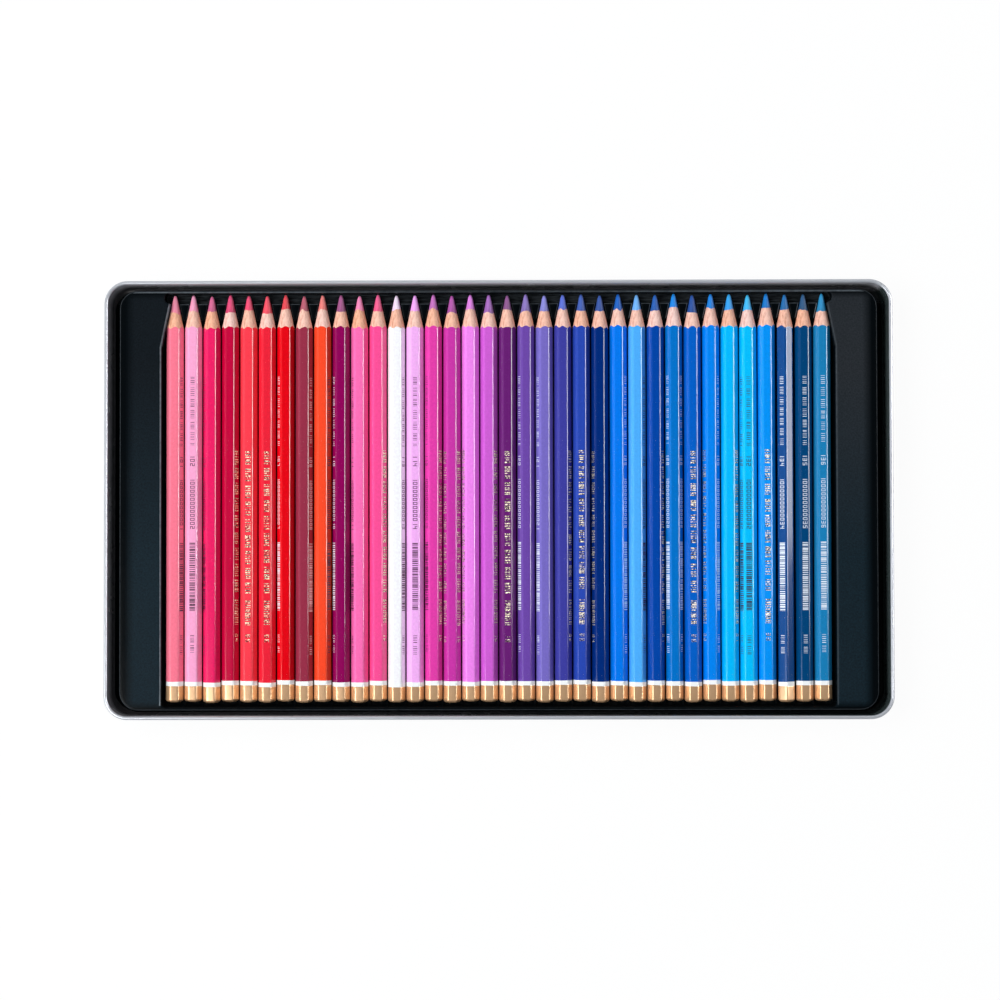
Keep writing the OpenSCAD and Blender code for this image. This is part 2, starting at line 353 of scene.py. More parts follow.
def formed_black():
    """Formed black sheet: half-gloss shelves with a fine grain, glossier where it is drawn out. Its
    colour also holds painted shade, light, reflection and highlights.
    """
    n = Finish("formed_black")
    place = n.parts(n.object)

    def band(axis, start, stop):
        """Rises from 0 to 1 between two places on an axis."""
        return n.ramp(place[axis], start * MM, stop * MM)

    grain = n.noise(1400, 4, rough=0.65)
    large = n.noise(35, 2)
    # Painted shade: the sheet is made near black below the shelves' level and near their outer
    # edges, where the rim keeps light off. The same mask makes those parts glossier.
    satin_and_unshaded = band("Z", SHELF_Z - 1.2, SHELF_Z - 0.3)
    for axis, half, near, far in (("X", TRAY_L / 2, 2.5, 6.5), ("Y", TRAY_W / 2, 1.0, 4.0)):
        away = n.math("ABSOLUTE", place[axis])
        satin_and_unshaded = n.times(satin_and_unshaded, n.ramp(away, (half - near) * MM, (half - far) * MM))

    # Painted light and shade: the shelves are darker at the back on the left, and paler at the back
    # on the right
    shelf = n.mottle(grain, "101b22", "152730")
    for side, dark, pale in ((-1, "0b1116", "11191f"), (1, "212529", "2a2e33")):
        painted_back_shading = n.times(band("Y", -25, 55), band("X", side * 100, side * 140))
        shelf = n.mix(painted_back_shading, shelf, n.mottle(grain, dark, pale))

    # Painted reflection: the trough floor is made a streaked grey, paler than the rest of the black
    # sheet
    trough = n.times(band("Y", TROUGH_BACK - 0.1, TROUGH_BACK + 0.4),
                     band("Z", WEDGE_Z, LAND_Z + 0.5))
    trough = n.times(trough, band("Y", TROUGH_FRONT + 0.3, TROUGH_FRONT))
    floor = n.mottle(n.noise(900, 3, (0.2, 2, 1), 0.6), "0c0f11", "303437")
    base = n.mix(trough, n.mix(satin_and_unshaded, "060a0d", shelf), floor)
    # Painted highlights on the rounded edges, kept at the mesh's points, make the colour pale
    # grey-blue
    painted_highlight_mask = n.times(n.attribute("painted_highlight"), n.ramp(n.noise(500), 0.3, 0.6, 0.6, 1.0))

    # The well's end under the gold dips is dull, so that it doesn't mirror them
    end = n.times(band("Y", WELL_BACK + 2.6, WELL_BACK + 1.6),
                  band("Z", SHELF_Z - 0.4, SHELF_Z - 1.2))
    rough = n.add("ShaderNodeMix", {
        0: end, 2: n.ramp(large, 0.3, 0.7, 0.42, 0.5), 3: 0.8}).outputs[0]
    n.set(Base_Color=n.mix(painted_highlight_mask, base, "98a2ab"), IOR=1.5, Specular_IOR_Level=0.04,
          Roughness=n.math("ADD", rough, n.ramp(satin_and_unshaded, 0, 1, -0.24, 0.0)),
          Normal=n.bump(grain, 0.00004, n.bump(large, 0.0002)))
    return n.material


def black_lacquer():
    """Stoving lacquer inside the tin: a little orange peel, with painted light and shade: paler high
    on the wall, near black towards the floor, paler on the left and at the back, darker on the
    right.
    """
    n = Finish("black_lacquer")
    place = n.parts(n.object)
    peel = n.noise(260, 2)
    # Painted light and shade: the left and back walls are made paler than the right, and all of it
    # near black towards the floor
    left = n.mottle(peel, "888589", "949196", 0.3, 0.7)
    right = n.mottle(peel, "37403f", "404a4b", 0.3, 0.7)
    grey = n.mix(n.ramp(place["X"], -TIN_L / 3 * MM, TIN_L / 3 * MM), left, right)
    back = n.ramp(place["Y"], (TIN_W / 2 - 4) * MM, (TIN_W / 2 - 2.5) * MM)
    grey = n.mix(back, grey, "b0adb2")
    n.set(Base_Color=n.mix(n.ramp(place["Z"], -1.0 * MM, 5.0 * MM), "03090b", grey), IOR=1.5,
          Roughness=n.ramp(n.noise(60), 0.3, 0.7, 0.2, 0.3), Normal=n.bump(peel, 0.00003))
    return n.material


STEEL = metal("tinplate", "bec0c6", roughness=0.38, uneven=0.015, grain=(1, 1, 1),
              wave=0.000003, fine=0.0, worn=0.985, metallic=0.45)
WALL = tin_wall()
BLACK = black_lacquer()
INSERT = formed_black()
WOOD = bare_wood()
WHITE = painted("white_dip", "fdfdfe", 0.22)
GOLD = metal("gold_dip", "f0c194", roughness=0.24, uneven=0.03, grain=(1, 1, 0.2),
             wave=0.00001, fine=0.000003, worn=0.9, metallic=0.5)
FOIL = foil()
DARK_INK = painted("dark_ink", "3a0f2c", 0.3)
WHITE_INK = painted("white_ink", "e6ecf5", 0.3)
PALE_INK = painted("pale_ink", "c9a76a", 0.3)


# ---------------------------------------------------------------- meshes
class Builder:
    """Collects vertices in millimetres and faces with their material, and makes one piece."""

    def __init__(self, materials):
        self.materials = materials
        self.points, self.faces, self.kinds, self.smooth = [], [], [], []
        self.count = 0

    def rows(self, points):
        """Adds an (n, 3) array of points and returns the index of each."""
        points = np.asarray(points, float).reshape(-1, 3)
        self.points.append(points)
        first = self.count
        self.count += len(points)
        return np.arange(first, self.count)

    def face(self, corners, kind=0, smooth=True):
        """One face. kind is the number of its material."""
        self.faces.append(tuple(int(c) for c in corners))
        self.kinds.append(kind)
        self.smooth.append(smooth)

    def strip(self, a, b, kind=0, closed=True):
        """Quads between two rings, or open lines, of as many points."""
        n = len(a)
        for j in range(n if closed else n - 1):
            k = (j + 1) % n
            self.face((a[j], a[k], b[k], b[j]), kind)

    def piece(self, name, place=None):
        """Makes the object, in the part's frame or at a place given in metres."""
        mesh = bpy.data.meshes.new(name)
        mesh.from_pydata((np.concatenate(self.points) * MM).tolist(), [], self.faces)
        for material in self.materials:
            mesh.materials.append(material)
        mesh.polygons.foreach_set("material_index", self.kinds)
        mesh.polygons.foreach_set("use_smooth", self.smooth)
        mesh.update()
        piece = bpy.data.objects.new(name, mesh)
        bpy.context.scene.collection.objects.link(piece)
        if place is not None:
            piece.matrix_world = place
        return piece


def arc(centre, radius, start, end, steps):
    """Points of an arc in the plane of a profile. Angles are in degrees."""
    angles = np.radians(np.linspace(start, end, steps + 1))
    return [(centre[0] + radius * math.cos(a), centre[1] + radius * math.sin(a)) for a in angles]


# ---------------------------------------------------------------- the tin
CORNER_STEPS = 20
SILVER, INSIDE, OUTSIDE = range(3)


def tin_profile():
    """Section of the tin from the middle of the underside, round the wall and rim, to the floor.
    x counts from the centre of the corner. Each point comes with the material before it."""
    wall = TIN_R - 2 * BEAD_R + SHEET
    ring_inside = wall - BOTTOM_R - FOOT_W
    bead = (TIN_R - BEAD_R, TIN_H - BEAD_R)
    bottom = (wall - BOTTOM_R, BOTTOM_R)
    floor = PANEL_RISE + SHEET
    outside = [(ring_inside - 2 * STEP_R, PANEL_RISE)]
    outside += arc((ring_inside - STEP_R, PANEL_RISE - STEP_R), STEP_R, 90, 0, 4)[1:]
    outside += arc((ring_inside + STEP_R, STEP_R), STEP_R, 180, 270, 4)
    outside += arc(bottom, BOTTOM_R, 270, 360, 12)
    rim = arc(bead, BEAD_R - SHEET, 180, 180 - BEAD_END, 20)
    rim += arc(bead, BEAD_R, 180 - BEAD_END, PAINT_FROM, 30)
    inside = arc(bead, BEAD_R, PAINT_FROM, 180, 3)[1:]
    inside += arc(bottom, BOTTOM_R - SHEET, 360, 270, 12)
    inside += arc((ring_inside + SHEET, 2 * SHEET), SHEET, 270, 180, 4)
    inside += arc((ring_inside - SHEET, floor - SHEET), SHEET, 0, 90, 4)
    return [(x, z, kind) for points, kind in ((outside, OUTSIDE), (rim, SILVER), (inside, INSIDE))
            for x, z in points]


def rounded_columns(length, width, radius, steps):
    """Corner centre and outward direction of each column round a rounded rectangle."""
    columns = []
    for k, (sx, sy) in enumerate(((1, 1), (-1, 1), (-1, -1), (1, -1))):
        for a in np.radians(np.linspace(90 * k, 90 * k + 90, steps + 1)):
            columns.append((sx * (length / 2 - radius), sy * (width / 2 - radius),
                            math.cos(a), math.sin(a)))
    return np.array(columns)


def make_tin():
    """The tin: its section carried round a rounded rectangle, closed above and below."""
    b = Builder([STEEL, BLACK, WALL])
    columns = rounded_columns(TIN_L, TIN_W, TIN_R, CORNER_STEPS)
    centre, out = columns[:, :2], columns[:, 2:]
    rings, kinds = [], []
    for x, z, kind in tin_profile():
        rings.append(b.rows(np.column_stack([centre + x * out, np.full(len(out), z)])))
        kinds.append(kind)
    for low, high, kind in zip(rings, rings[1:], kinds[1:]):
        b.strip(low, high, kind)
    b.face(rings[0][::-1], OUTSIDE)
    b.face(rings[-1], INSIDE)
    tin = b.piece("tin_shell")
    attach(tin, "tin_base")
    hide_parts("tin_base")


# ---------------------------------------------------------------- the formed insert
def fall(inside, level, fillet, draft):
    """Height of a sheet that turns down from a level along a drafted wall, with a rounded edge."""
    lean = math.radians(90 - draft)
    run = fillet * math.tan(lean / 2)
    reach = np.clip(inside + run, 0, fillet * math.sin(lean))
    rounded = level - fillet + np.sqrt(fillet ** 2 - reach ** 2)
    wall = level - inside * math.tan(lean)
    return np.where(inside < fillet * math.sin(lean) - run, rounded, wall)


def grown(inside, grow, draft):
    """The same distance for the lower face, whose level lies the sheet's thickness lower."""
    return inside + grow - grow * math.tan(math.radians(draft))


def wall_x(y):
    """Half width of the well: it narrows beside the sharpened cones."""
    start = TROUGH_BACK - TAPER_L
    share = np.clip((y - start) / TAPER_L, 0, 1)
    return WELL_HALF + (PIT_X - WELL_HALF) * share


def groove_radius(y):
    """Radius of a groove: it follows the pencil's cone down to its point."""
    return np.clip(GROOVE_POINT_R + CONE_SLOPE * (POINT_Y - y), GROOVE_POINT_R, GROOVE_R)


def groove_half(y):
    """Half width of a groove where it meets the land or the wedge beside it."""
    below = np.where(y < WEDGE_Y, AXIS_Z - LAND_Z, AXIS_Z - WEDGE_Z)
    return np.sqrt(groove_radius(y) ** 2 - below ** 2)


def from_axis(x):
    """Distance to the right of the nearest pencil's axis."""
    near = np.clip(np.round((x - PENCIL_X[0]) / PITCH), 0, PENCIL_COUNT - 1)
    return x - PENCIL_X[0] - near * PITCH


def sheet_height(x, y, grow):
    """Height of the formed sheet's upper face (grow 0) or lower face (grow its thickness)."""
    level = SHELF_Z - grow
    out_of_reach = level + 9
    ax = np.abs(x)
    soft = 1.0 if grow == 0 else LOWER_FILLETS

    # The well: its sides and back, the wall in front of the cones, the step up to the wedges
    side, back = wall_x(y) - ax, y - WELL_BACK
    corner = WELL_CORNER - np.hypot(WELL_CORNER - side, WELL_CORNER - back)
    in_corner = (side < WELL_CORNER) & (back < WELL_CORNER)
    well_inside = np.where(in_corner, corner, np.minimum(side, back))
    rounding = BACK_FILLET + (WELL_FILLET - BACK_FILLET) * np.clip((back - 1) / 5, 0, 1)
    well = fall(grown(well_inside, grow, DRAFT), level, rounding * soft, DRAFT)
    front = fall(grown(TROUGH_BACK + 1 - y, grow, TROUGH_DRAFT), level, SHARP_FILLET,
                 TROUGH_DRAFT)
    step = fall(y - WEDGE_Y, LAND_Z, 0.0, DRAFT)
    step = np.clip(LAND_Z - (step - LAND_Z), LAND_Z, WEDGE_Z)

    # The grooves, with rounded edges where they meet the lands and wedges
    dx = np.abs(from_axis(x))
    radius = groove_radius(y) + grow
    half = groove_half(y)
    groove_level = np.where(y < WEDGE_Y, LAND_Z, WEDGE_Z)
    edge = fall(half + grow - dx, 0.0, WEDGE_FILLET * soft, GROOVE_DRAFT) + groove_level - grow
    trench = AXIS_Z - np.sqrt(np.maximum(radius ** 2 - dx ** 2, 0))
    has_groove = (y > GROOVE_BACK - grow) & (y < POINT_Y + grow)
    cut = np.where(has_groove & (dx < radius), np.maximum(edge, trench), out_of_reach)
    shoulder = np.where(has_groove, np.minimum(edge, step - grow), step - grow)
    floor = np.where(dx < half + grow, step - grow, shoulder)
    well = np.maximum(np.maximum(well, front), floor)

    # The cross trough and the round pits at its ends
    back_edge = fall(y - TROUGH_BACK + grow, WEDGE_Z - grow, TROUGH_FILLET * soft, TROUGH_DRAFT)
    front_edge = fall(grown(TROUGH_FRONT - y, grow, TROUGH_DRAFT), level,
                      TROUGH_FILLET * soft, TROUGH_DRAFT)
    ends = fall(grown(PIT_X + TROUGH_PAST_PIT - ax, grow, TROUGH_DRAFT), level, SHARP_FILLET,
                TROUGH_DRAFT)
    trough = np.maximum.reduce([back_edge, front_edge, ends, np.full_like(x, TROUGH_Z - grow)])
    trough = np.where(y < TROUGH_BACK - 1, out_of_reach, trough)
    from_pit = PIT_R - np.hypot(ax - PIT_X, y - (TROUGH_FRONT + TROUGH_BACK) / 2)
    pit = np.maximum(fall(grown(from_pit, grow, TROUGH_DRAFT), level, PIT_FILLET * soft,
                          TROUGH_DRAFT), TROUGH_Z - grow)
    return np.minimum.reduce([np.full_like(x, level), well, trough, pit, cut])


# Painted highlight on the insert's outer rounded edge
OUTER_EDGE_HIGHLIGHT = 0.16


def line(off, half):
    """A line: 1 in its middle, 0 from its half width outwards."""
    return np.clip(1 - np.abs(off) / half, 0, 1)


def painted_edge_highlights(x, y):
    """How pale the painted highlights make the sheet's rounded edges, from 0 to 1, stronger on some
    sides than others as the lamps fall.
    """
    ax, off = np.abs(x), from_axis(x)
    beside = np.abs(off) - groove_half(y)
    along_well = (y > WELL_BACK + 1) & (y < TROUGH_BACK)
    on_wedge = (y > WEDGE_Y + 1.5) & (y < TROUGH_BACK) & (ax < PENCIL_X[-1] + PITCH / 2)
    well = line(ax - wall_x(y) - 0.25, 0.36) * np.where(along_well, 1, 0)
    well = well * np.where(x < 0, 1.0, 0.12)
    groove = line(beside - 0.12, 0.22) * np.where(on_wedge, 0.1, 0)
    groove = groove * np.where(off < 0, 2.5 + 7.5 * np.clip(x / PENCIL_X[-1], -0.2, 1), 1)
    front = line(y - TROUGH_BACK + 0.15, 0.3)
    front = front * np.where((beside > 0) & (ax < PENCIL_X[-1]), 0.3, 0)
    land = np.clip((y - TROUGH_FRONT + 0.1) / 0.3, 0, 1) * (0.12 + 0.3 * np.clip(ax / 120, 0, 1))
    return np.maximum.reduce([well, groove, front, land])


def sheet_rows():
    """Rows of the insert's grid, close together where the sheet bends. The plain numbers are
    places along the grooves, at the pencils' ends and where the grooves begin to taper."""
    edge = TRAY_W / 2 - EDGE_R
    parts = [
        np.linspace(-edge, WELL_BACK + 0.1, 7),
        WELL_BACK + np.array([0.3, 0.51, 0.54, 0.8, 1.02]),
        [-87.2, -86, -84.5, -83, -81.9, 0, 60, 65.45, 69, 72, 73.6, 74.6, 75.4, 76.1],
        WEDGE_Y + np.array([-0.25, -0.05, 0.0, 0.15, 0.3, 0.8, 1.6, 2.8, 4.0, 5.2, 6.1, 6.7]),
        np.linspace(TROUGH_BACK - 0.55, TROUGH_BACK + 0.25, 8),
        np.linspace(TROUGH_BACK + 0.5, TROUGH_FRONT - 0.9, 7),
        np.linspace(TROUGH_FRONT - 0.6, TROUGH_FRONT - 0.35, 2),
        np.linspace(TROUGH_FRONT - 0.2, edge, 6),
    ]
    return np.unique(np.round(np.concatenate(parts), 4))


# Where the columns spread from the well's wall out to the pits
WIDEN_FROM, WIDEN_L = 78, 6


def sheet_columns(y):
    """Places across the insert in one row: they follow the grooves, the wall and the corners."""
    half = float(groove_half(np.array(y)))
    room = PITCH / 2 - half
    lip = min(0.36, 0.8 * room)
    across = [half * math.sin(math.radians(a)) for a in np.linspace(-90, 90, 9)]
    lips = [half + lip * t for t in (0.3, 0.65, 1.0)]
    places = []
    for i in range(PENCIL_COUNT):
        if i:
            places += [PENCIL_X[i] - PITCH / 2] + [PENCIL_X[i] - d for d in lips[::-1]]
        places += [PENCIL_X[i] + d for d in across]
        if i < PENCIL_COUNT - 1:
            places += [PENCIL_X[i] + d for d in lips]

    # From the last groove to the wall or the pit, then over the shelf to the rounded corner
    pit_reach = PIT_X + PIT_R + PIT_FILLET + TRAY_T
    wall_reach = float(wall_x(np.array(y))) + WELL_FILLET + TRAY_T
    share = min(max((y - WIDEN_FROM) / WIDEN_L, 0), 1)
    stop = wall_reach + (pit_reach - wall_reach) * share
    corner_r = TRAY_R - EDGE_R
    past = min(max(abs(y) - (TRAY_W / 2 - TRAY_R), 0), corner_r)
    end = TRAY_L / 2 - TRAY_R + math.sqrt(max(corner_r ** 2 - past ** 2, 0))
    side = list(np.linspace(PENCIL_X[-1] + half, stop, 27)[1:])
    side += [stop + (end - stop) * t for t in (0.08, 0.3, 0.55, 0.8, 0.93, 1.0)]
    return np.array([-x for x in side[::-1]] + places + side)


def make_insert():
    """The insert: an upper and a lower grid, joined round the skirt and the foot flange."""
    b = Builder([INSERT])
    rows = sheet_rows()
    xs = np.array([sheet_columns(y) for y in rows])
    ys = np.repeat(rows[:, None], xs.shape[1], 1)
    upper = b.rows(np.stack([xs, ys, sheet_height(xs, ys, 0.0)], -1)).reshape(xs.shape)
    lower = b.rows(np.stack([xs, ys, sheet_height(xs, ys, TRAY_T)], -1)).reshape(xs.shape)
    for r in range(len(rows) - 1):
        b.strip(upper[r], upper[r + 1], closed=False)
        b.strip(lower[r + 1], lower[r], closed=False)

    # The rim of both grids, anticlockwise, carried outwards over the edge, skirt and foot flange
    last = xs.shape[1] - 1
    loop = [(0, c) for c in range(last + 1)] + [(r, last) for r in range(1, len(rows))]
    loop += [(len(rows) - 1, c) for c in range(last - 1, -1, -1)]
    loop += [(r, 0) for r in range(len(rows) - 2, 0, -1)]
    base = np.array([(xs[r, c], ys[r, c]) for r, c in loop])
    middle = np.array([TRAY_L / 2 - TRAY_R, TRAY_W / 2 - TRAY_R])
    centre = np.clip(base, -middle, middle)
    out = base - centre
    out /= np.linalg.norm(out, axis=1)[:, None]

    def ring(spread, z):
        """A ring at a distance from the corners' centres, which may differ in x and y."""
        return b.rows(np.column_stack([centre + out * spread, np.full(len(out), z)]))

    # The flange has sharper corners than the insert
    reach = TRAY_R - EDGE_R
    foot = TRAY_R + SKIRT_FLARE
    flange = TRAY_HIGH[:2] - np.array([TRAY_L, TRAY_W]) / 2 - SKIRT_FLARE
    foot_top = FOOT_Z + TRAY_T
    top = arc((reach, SHELF_Z - EDGE_R), EDGE_R, 90, 7, 6)[1:]
    top += [(foot - 0.12, foot_top + 0.5), (foot, foot_top + 0.12)]
    under = [(reach + 0.08, SHELF_Z - TRAY_T - 0.02), (foot - TRAY_T, FOOT_Z + 0.3)]
    lip = ((foot_top, 0.15), (foot_top, 0.9), (foot_top - 0.15, 1.0), (FOOT_Z + 0.1, 1.0),
           (FOOT_Z, 0.9), (FOOT_Z, 0.0))

    rings = [np.array([upper[r, c] for r, c in loop])] + [ring(x, z) for x, z in top]
    rings += [ring(foot + flange * share, z) for z, share in lip]
    rings += [ring(x, z) for x, z in under[::-1]]
    rings += [np.array([lower[r, c] for r, c in loop])]
    for a, c in zip(rings, rings[1:]):
        b.strip(c, a)
    insert = b.piece("formed_insert")
    # Painted highlights: how pale each point of the upper grid and of the outer rounded edge is made
    painted_highlight = np.zeros(b.count, np.float32)
    painted_highlight[upper.ravel()] = painted_edge_highlights(xs, ys).ravel()
    painted_highlight[rings[2]] = painted_highlight[rings[3]] = OUTER_EDGE_HIGHLIGHT
    insert.data.attributes.new("painted_highlight", "FLOAT", "POINT").data.foreach_set("value", painted_highlight)
    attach(insert, "insert_tray")
    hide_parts("insert_tray")


# ---------------------------------------------------------------- pencils
CORE, BARE, COAT, RING, DIP, BARS, INK = range(7)
SEED = 1000
# Rings of points: round the tip (share of its radius, place along the pencil), then as shares of
# the core's and the wood's length, along the barrel, and by degrees over the rounded end
TIP_START, TIP_L = 0.12, 0.62
TIP_RINGS = ((0.45, 0.17), (0.8, 0.32), (1.02, TIP_L))
CORE_RINGS = (0.15, 0.35, 0.6, 0.85, 1.0)
WOOD_RINGS = (0.04, 0.3, 0.6, 0.9, 1.0)
BARREL_RINGS = (15.6, 40.0, 80.0, 120.0, 160.0)
END_RINGS = (15, 30, 45, 60, 75, 88)
# Size and number of the waves in the wood's edge, the core's edge and the edges of the white ring
WOOD_WAVES, CORE_WAVES, RING_WAVES = (0.1, 14), (0.22, 5), (0.03, 3)


def barrel_section():
    """Angles and radii of a hexagon with rounded corners, a flat facing +y."""
    apothem = FLATS / 2
    centre = (apothem - CORNER_R) / math.cos(math.radians(30))
    points = []
    for k in range(6):
        middle = 60 * k
        cx, cy = (centre * f(math.radians(middle)) for f in (math.cos, math.sin))
        points += arc((cx, cy), CORNER_R, middle - 30, middle + 30, 6)
        a = math.radians(middle + 30)
        flat = math.tan(math.radians(30)) * (apothem - CORNER_R)
        for across in (-0.6, -0.2, 0.2, 0.6):
            points.append((apothem * math.cos(a) - flat * across * math.sin(a),
                           apothem * math.sin(a) + flat * across * math.cos(a)))
    points = np.array(points)
    return np.arctan2(points[:, 1], points[:, 0]), np.hypot(points[:, 0], points[:, 1])


def wobble(angles, random, size, waves):
    """A smooth random line round the pencil."""
    total = np.zeros_like(angles)
    for k in range(1, waves + 1):
        total += random.normal() / k ** 0.5 * np.cos(k * angles + random.uniform(0, 2 * math.pi))
    return size * total


def box_mark(b, place, low, high, kind):
    """A thin plate on a facet. place turns (along, across, out) into the pencil's own frame."""
    corners = [(low[0], low[1], low[2]), (high[0], low[1], low[2]),
               (high[0], high[1], low[2]), (low[0], high[1], low[2])]
    corners += [(x, y, high[2]) for x, y, z in corners]
    v = b.rows([place(*c) for c in corners])
    for face in ((4, 5, 6, 7), (3, 2, 1, 0), (0, 1, 5, 4), (1, 2, 6, 5), (2, 3, 7, 6), (3, 0, 4, 7)):
        b.face([v[k] for k in face], kind, False)


SEGMENTS = {"0": "abcdef", "1": "bc", "2": "abged", "3": "abgcd", "4": "fgbc", "5": "afgcd",
            "6": "afgedc", "7": "abc", "8": "abcdefg", "9": "abcdfg"}
DIGIT_W, DIGIT_H, STROKE = 1.15, 1.9, 0.27
MARK_LOW, MARK_HIGH = -0.01, 0.02

# Bars along a pencil: start, end, pitch, width, half height, and how many stand before a gap.
# Numbers: start, step, and what is added to the pencil's own number
FOIL_BARS = ((67.2, 128.0, 0.95, 0.42, 1.15, 6), (131.0, 141.5, 0.9, 0.4, 1.15, 0))
FOIL_NUMBERS = ((145.5, 2.0, 0),)
INK_BARS = ((35.5, 65.0, 0.75, 0.2, 0.85, 5), (106.5, 135.6, 0.8, 0.42, 1.2, 0),
            (146.0, 154.0, 0.75, 0.2, 0.85, 5))
INK_NUMBERS = ((68.8, 1.85, 100), (78.7, 1.72, 1000000000000))


def digit(b, place, start, figure, kind):
    """A plain seven-stroke figure, read along the pencil, its top towards +across."""
    w, h, s = DIGIT_W, DIGIT_H / 2, STROKE
    strokes = {"a": (0, h - s, w, h), "g": (0, -s / 2, w, s / 2), "d": (0, -h, w, s - h),
               "f": (0, 0, s, h), "b": (w - s, 0, w, h), "e": (0, -h, s, 0), "c": (w - s, -h, w, 0)}
    for name in SEGMENTS[figure]:
        x0, y0, x1, y1 = strokes[name]
        box_mark(b, place, (start + x0, y0, MARK_LOW), (start + x1, y1, MARK_HIGH), kind)


def bars(b, place, kind, random, start, end, pitch, width, half, gaps):
    """A run of plain bars across the facet, with a gap after every few of them."""
    at, k = start, 0
    while at < end:
        wide = width * (0.6 + 0.9 * random.random())
        box_mark(b, place, (at, -half, MARK_LOW), (min(at + wide, end), half, MARK_HIGH), kind)
        k += 1
        at += max(pitch * (0.75 + 0.5 * random.random()), wide + 0.12)
        if gaps and k % gaps == 0:
            at += 1.3 * pitch


def print_rows(b, index, random):
    """Plain bars and numbers where such pencils are printed."""
    for row in PRINTS[index + 1].split():
        facet = math.radians(FACETS[row[0]])
        out = np.array([math.cos(facet), math.sin(facet)])
        up = np.array([math.sin(facet), -math.cos(facet)])

        def place(along, across, height, out=out, up=up):
            """A point over the facet, in the pencil's own frame."""
            xy = out * (FLATS / 2 + height) + up * across
            return (xy[0], xy[1], along)

        if row[1] == "F":
            kind, runs, numbers = BARS, FOIL_BARS, FOIL_NUMBERS
        else:
            kind, runs, numbers = INK, INK_BARS, INK_NUMBERS
        for run in runs:
            bars(b, place, kind, random, *run)
        for start, step, added in numbers:
            for k, figure in enumerate(f"{added + index + 1:02d}"):
                digit(b, place, start + k * step, figure, kind)


def make_pencil(i):
    """A pencil: rings of points from its tip to its dipped end, and its prints."""
    random = np.random.default_rng(SEED + i)
    prints = PRINTS[i + 1]
    ink = DARK_INK if "D" in prints else WHITE_INK if "W" in prints else PALE_INK
    b = Builder([core(i + 1), WOOD, lacquer(i + 1), WHITE, GOLD, FOIL, ink])
    angles, section = barrel_section()
    unit = np.column_stack([np.cos(angles), np.sin(angles)])

    def ring(radius, along):
        """A ring of points. The radius and the place may differ round the pencil."""
        return b.rows(np.column_stack([unit * np.broadcast_to(radius, len(unit))[:, None],
                                       np.broadcast_to(along, len(unit))]))

    def cone(along):
        """Radius of the sharpened cone."""
        return POINT_R + CONE_SLOPE * along

    edge = (section - POINT_R) / CONE_SLOPE
    edge = SCALLOP * edge + (1 - SCALLOP) * edge.mean() + wobble(angles, random, *WOOD_WAVES)
    border = CORE_L + random.uniform(-CORE_SPREAD, CORE_SPREAD)
    border = border + wobble(angles, random, *CORE_WAVES)
    tip = b.rows([(0, 0, TIP_START)])[0]
    rings = [(ring(POINT_R * share, along), CORE) for share, along in TIP_RINGS]
    for share in CORE_RINGS:
        along = TIP_L + (border - TIP_L) * share
        rings.append((ring(cone(along), along), CORE))
    for share in WOOD_RINGS:
        along = border + (edge - border) * share
        radius = np.minimum(cone(along) + (0.03 if share > 0.95 else 0.0), section)
        rings.append((ring(radius, along), BARE))
    rings += [(ring(section, edge + 0.12), COAT), (ring(section, edge + 0.3), COAT)]
    rings += [(ring(section, along), COAT) for along in BARREL_RINGS]
    end, dip = PENCIL_L, random.uniform(-DIP_SPREAD, DIP_SPREAD)
    ring_start = dip + end - GOLD_L - RING_L + wobble(angles, random, *RING_WAVES)
    ring_end = dip + end - GOLD_L + wobble(angles, random, *RING_WAVES)
    rings += [(ring(section, ring_start - SUPPORT), COAT), (ring(section, ring_start), COAT)]
    for radius, start, stop, kind in ((section + DIP_T, ring_start + 0.06, ring_end, RING),
                                      (section + 2 * DIP_T, ring_end + 0.07, end - END_R, DIP)):
        rings += [(ring(radius, along), kind)
                  for along in (start, start + SUPPORT, stop - SUPPORT, stop)]
    for a in np.radians(END_RINGS):
        inset = END_INSET * (1 - math.cos(a))
        along = end - END_R + END_R * math.sin(a) - 0.02
        rings.append((ring(section + 2 * DIP_T - inset, along), DIP))
    rings.append((ring(0.6, end - 0.01), DIP))
    first = rings[0][0]
    for here, after in zip(first, np.roll(first, -1)):
        b.face((tip, after, here), CORE)
    for (a, _), (c, kind) in zip(rings, rings[1:]):
        b.strip(a, c, kind)
    b.face(rings[-1][0], DIP)
    print_rows(b, i, random)

    point_y = BOXES[i][1][1]
    spin = Matrix.Rotation(math.radians(turn_of(i)), 4, "Y") @ Matrix.Rotation(math.pi / 2, 4, "X")
    place = Matrix.Translation(Vector((PENCIL_X[i], point_y, AXIS_Z)) * MM) @ spin
    pencil = b.piece(f"colour_pencil_{i + 1:02d}", place)
    tone = pencil.data.attributes.new("tone", "FLOAT", "POINT")
    tone.data.foreach_set("value", np.full(b.count, int(TONES[i]) / 9, np.float32))
    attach(pencil, PENCILS[i])
    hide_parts(PENCILS[i])


# ---------------------------------------------------------------- floor, light and camera
FLOOR_SIZE = 12.0
FLOOR_SEEN = 0.94
FLOOR_LOOK = {"Base Color": (0.96, 0.96, 0.96, 1), "Roughness": 0.9, "Specular IOR Level": 0.2}


def white_where_seen(n, shader):
    """Mixes a shader with plain white where the camera, gloss or glass looks straight at it."""
    path = n.add("ShaderNodeLightPath").outputs
    seen = path["Is Camera Ray"]
    for name in ("Is Glossy Ray", "Is Transmission Ray"):
        seen = n.math("MAXIMUM", seen, path[name])
    glow = n.add("ShaderNodeEmission", {"Strength": 1.0, "Color": (1, 1, 1, 1)})
    return n.add("ShaderNodeMixShader", {
        0: n.times(seen, FLOOR_SEEN), 1: shader, 2: glow.outputs[0]}).outputs[0]


